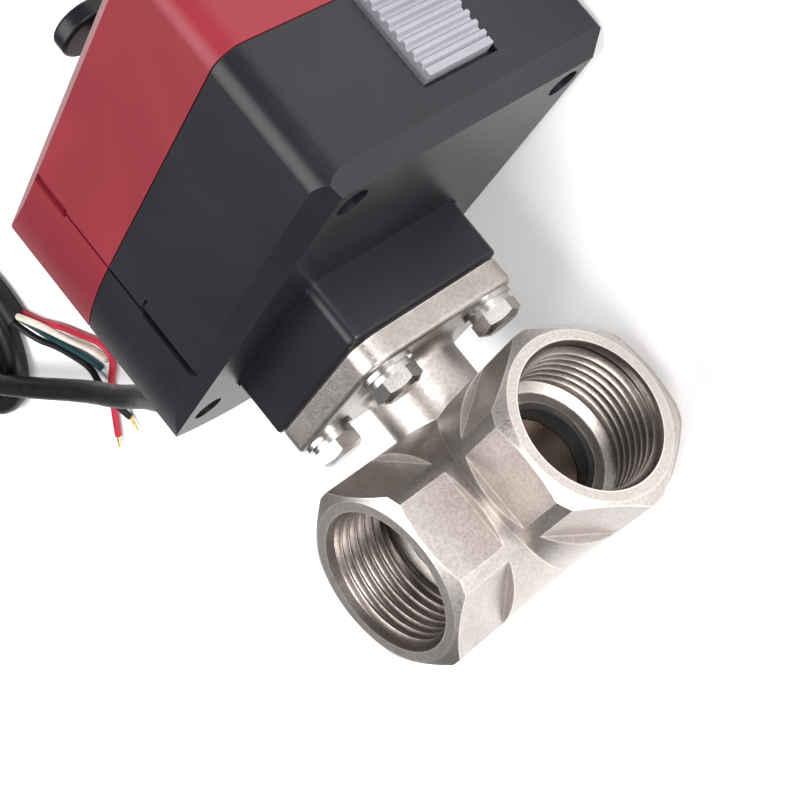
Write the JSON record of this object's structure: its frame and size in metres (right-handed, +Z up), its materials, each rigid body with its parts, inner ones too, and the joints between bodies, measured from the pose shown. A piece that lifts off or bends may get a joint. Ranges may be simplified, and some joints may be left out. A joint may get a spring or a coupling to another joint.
{
  "type": "motorized three-way ball valve",
  "caption": "Geared electric actuator in a two-part plastic housing, bolted to a nickel-plated tee-body ball valve, with a cable and bare leads.",
  "frame": {"origin": "centre of the base of the bounding box, measured without the cable and its leads", "axes": "+X along the valve stem towards the actuator, +Y towards the cable gland, +Z up through the side port that faces away from the floor"},
  "size_m": [0.1859, 0.2793, 0.0646],
  "materials": {
    "red_plastic": "satin moulded",
    "black_plastic": "fine moulded grain",
    "grey_plastic": "satin moulded",
    "nickel_brass": "blasted and nickel plated",
    "raw_brass": "turned",
    "steel": "zinc plated",
    "dark_steel": "plain",
    "ball_chrome": "polished",
    "white_polymer": "plain",
    "black_seat": "filled sealing polymer",
    "rubber": "matt",
    "gear_polymer": "moulded",
    "board_green": "solder mask",
    "switch_black": "moulded",
    "terminal_green": "moulded",
    "capacitor_sleeve": "shrunk sleeve",
    "cable_sheath": "satin sheath",
    "lead_red": "insulation",
    "lead_white": "insulation",
    "lead_green": "insulation",
    "lead_black": "insulation"
  },
  "bodies": {
    "housing": {"base_housing": "black_plastic", "cover": "red_plastic", "cover_gasket": "rubber", "cover_screws": "dark_steel", "shaft_seal": "rubber", "lower_bush": "raw_brass", "upper_bush": "raw_brass", "lower_plate": "steel", "upper_plate": "steel", "plate_pillars": "steel", "plate_screws": "steel", "gear_arbors": "steel", "pedestal_screws": "steel", "motor_can": "dark_steel", "lower_switch": "switch_black", "upper_switch": "switch_black", "switch_tabs": "raw_brass", "switch_screws": "steel", "circuit_board": "board_green", "terminal_block": "terminal_green", "capacitor": "capacitor_sleeve", "pedestal": "black_plastic", "flange_bolts": "steel", "spring_washers": "dark_steel", "flat_washers": "steel", "valve_body": "nickel_brass", "end_piece": "nickel_brass", "seat_a": "black_seat", "seat_b": "black_seat", "seat_c": "black_seat", "stem_washer": "white_polymer", "stem_packing": "white_polymer", "gland_nut": "raw_brass", "cable_gland": "black_plastic", "cable_run": "cable_sheath", "cable_tail": "cable_sheath", "cable_coil": "cable_sheath", "lead_red": "lead_red", "lead_white": "lead_white", "lead_green": "lead_green", "lead_black": "lead_black"},
    "output": {"output_shaft": "steel", "output_gear": "gear_polymer", "lower_cam": "switch_black", "upper_cam": "white_polymer", "knob": "black_plastic", "knob_screw": "steel", "drive_coupling": "raw_brass", "valve_stem": "raw_brass", "ball": "ball_chrome"},
    "second_gear": {"second_gear": "gear_polymer"},
    "first_gear": {"first_gear": "gear_polymer"},
    "rotor": {"motor_pinion": "raw_brass", "motor_shaft": "steel"},
    "slide": {"release_slide": "grey_plastic"}
  },
  "joints": [
    {"name": "output_turn", "type": "hinge", "parent": "housing", "child": "output", "pos_m": [-0.0473, 0.00265, 0.0323], "axis": [1, 0, 0], "range_deg": [0, 90]},
    {"name": "second_gear_spin", "type": "hinge", "parent": "housing", "child": "second_gear", "pos_m": [-0.0473, -0.01857, 0.04716], "axis": [1, 0, 0], "range_deg": [-387, 0]},
    {"name": "first_gear_spin", "type": "hinge", "parent": "housing", "child": "first_gear", "pos_m": [-0.0473, -0.02688, 0.03528], "axis": [1, 0, 0], "range_deg": [0, 1214]},
    {"name": "rotor_spin", "type": "hinge", "parent": "housing", "child": "rotor", "pos_m": [-0.0473, -0.02946, 0.02315], "axis": [1, 0, 0], "range_deg": [-4158, 0]},
    {"name": "release_slide", "type": "slide", "parent": "housing", "child": "slide", "axis": [1, 0, 0], "range_m": [0, 0.002]}
  ],
  "couplings": [
    {"joint": "second_gear_spin", "follows": "output_turn", "ratio": -4.2857},
    {"joint": "first_gear_spin", "follows": "output_turn", "ratio": 13.469},
    {"joint": "rotor_spin", "follows": "output_turn", "ratio": -46.181}
  ]
}
